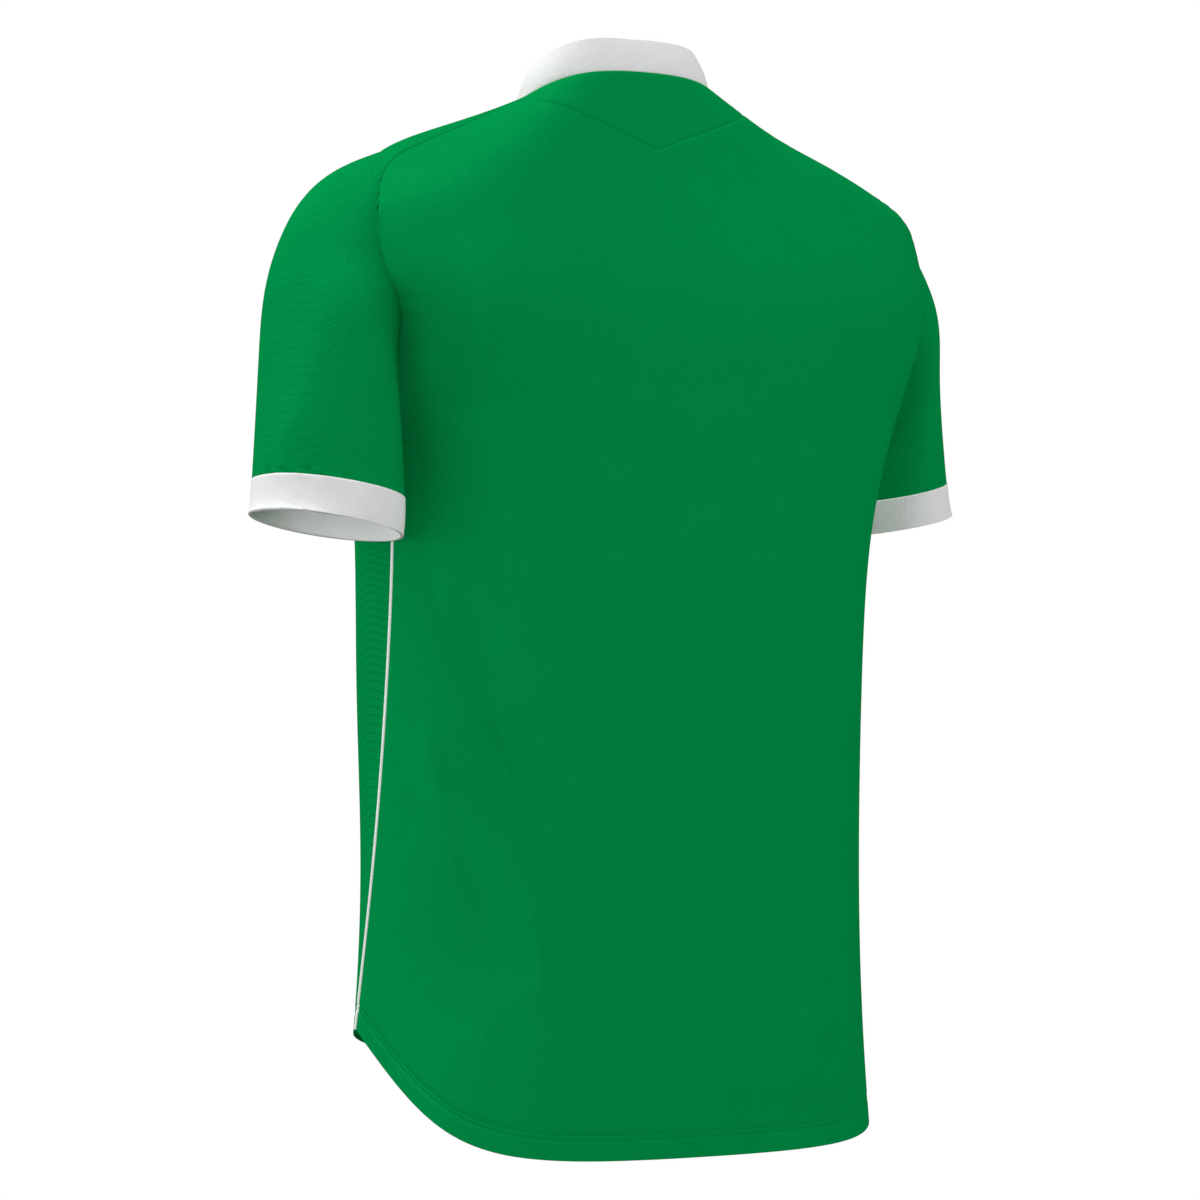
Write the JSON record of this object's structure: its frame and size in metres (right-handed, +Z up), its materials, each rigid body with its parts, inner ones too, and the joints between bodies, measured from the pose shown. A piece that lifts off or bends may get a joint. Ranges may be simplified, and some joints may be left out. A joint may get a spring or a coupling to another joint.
{
  "type": "football jersey",
  "caption": "Short-sleeved knitted football jersey with a stand collar, contrast cuffs, side piping and a longer curved back hem, filled out as worn, open and hollow.",
  "frame": {"origin": "on the centre line, level with the high points of the shoulders, where the wearer's shoulders carry the jersey", "axes": "+Z up, +X towards the wearer's left, +Y towards the wearer's back"},
  "size_m": [0.595, 0.2481, 0.7887],
  "materials": {
    "green_knit": "fine knitted mesh with a slight sheen",
    "white_rib": "smooth folded knit band",
    "white_piping": "smooth folded piping"
  },
  "bodies": {
    "root": {"back": "green_knit", "back_yoke": "green_knit", "front": "green_knit", "sleeve_left": "green_knit", "sleeve_right": "green_knit", "cuff_left": "white_rib", "cuff_right": "white_rib", "collar": "white_rib", "piping_left": "white_piping", "piping_right": "white_piping"}
  },
  "joints": []
}
